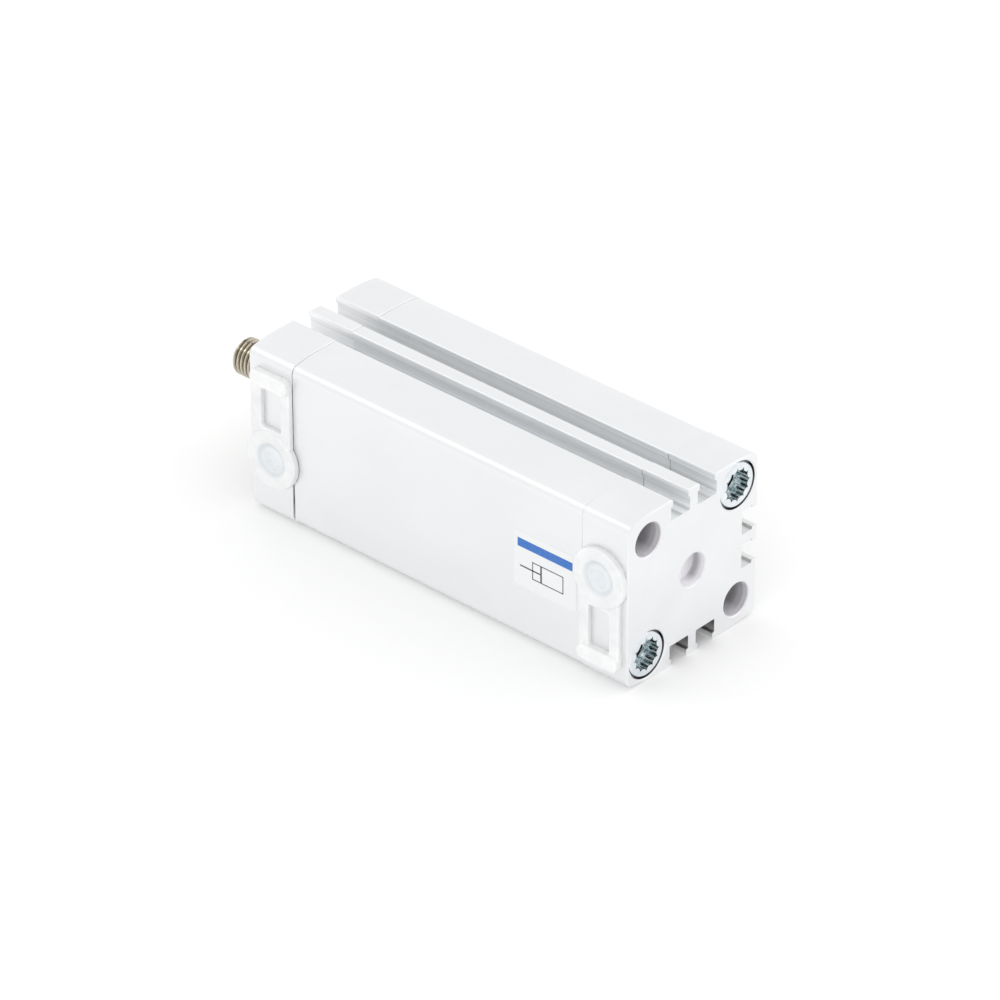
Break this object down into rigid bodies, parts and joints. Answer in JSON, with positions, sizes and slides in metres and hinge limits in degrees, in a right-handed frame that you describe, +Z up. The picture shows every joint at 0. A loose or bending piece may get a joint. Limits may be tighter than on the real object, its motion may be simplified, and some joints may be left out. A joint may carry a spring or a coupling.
{
  "type": "compact pneumatic cylinder",
  "caption": "Double-acting compact pneumatic cylinder with square slotted aluminium body, threaded piston rod and plugged side ports; moves a load along its rod by compressed air.",
  "frame": {"origin": "on the rod axis in the plane of the end cap's outer face, at the mouth of the centring bore", "axes": "+X along the rod, the way it extends; +Z up as the cylinder lies; both air ports face +Y"},
  "size_m": [0.149, 0.0493, 0.047],
  "materials": {
    "anodised": "clear-anodised, satin",
    "zinc_steel": "bright blue-white zinc plate",
    "stainless": "rolled and polished stainless steel",
    "piston_alloy": "turned, plain",
    "magnet": "bonded ferrite, matt",
    "guide_plastic": "acetal, matt",
    "seal_rubber": "nitrile rubber, matt",
    "cushion_rubber": "polyurethane, satin",
    "bearing_bronze": "sintered bronze",
    "plug_plastic": "translucent polyethylene, semi-matt"
  },
  "bodies": {
    "housing": {"barrel": "anodised", "end_cap": "anodised", "bearing_cap": "anodised", "rear_cap_o_ring": "seal_rubber", "front_cap_o_ring": "seal_rubber", "rod_bush": "bearing_bronze", "rod_seal": "cushion_rubber", "rear_collar_screw_upper": "zinc_steel", "rear_collar_screw_lower": "zinc_steel", "front_collar_screw_upper": "zinc_steel", "front_collar_screw_lower": "zinc_steel"},
    "packing": {"piston_guide_ring": "guide_plastic", "piston_seal_front": "seal_rubber", "piston_seal_rear": "seal_rubber"},
    "rod": {"piston_rod": "stainless", "piston_front_half": "piston_alloy", "piston_rear_half": "piston_alloy", "piston_o_ring": "seal_rubber", "piston_magnet": "magnet", "cushion_ring_front": "cushion_rubber", "cushion_ring_rear": "cushion_rubber", "piston_washer": "zinc_steel", "piston_nut": "zinc_steel"},
    "front_plug": {"front_port_plug": "plug_plastic"},
    "rear_plug": {"rear_port_plug": "plug_plastic"}
  },
  "joints": [
    {"name": "piston_stroke", "type": "slide", "parent": "housing", "child": "packing", "axis": [1, 0, 0], "range_m": [0, 0.08]},
    {"name": "rod_turn", "type": "hinge", "parent": "packing", "child": "rod", "pos_m": [0, 0, 0], "axis": [1, 0, 0], "continuous": true},
    {"name": "front_plug_pull", "type": "slide", "parent": "housing", "child": "front_plug", "axis": [0, 1, 0], "range_m": [0, 0.015]},
    {"name": "rear_plug_pull", "type": "slide", "parent": "housing", "child": "rear_plug", "axis": [0, 1, 0], "range_m": [0, 0.015]}
  ]
}
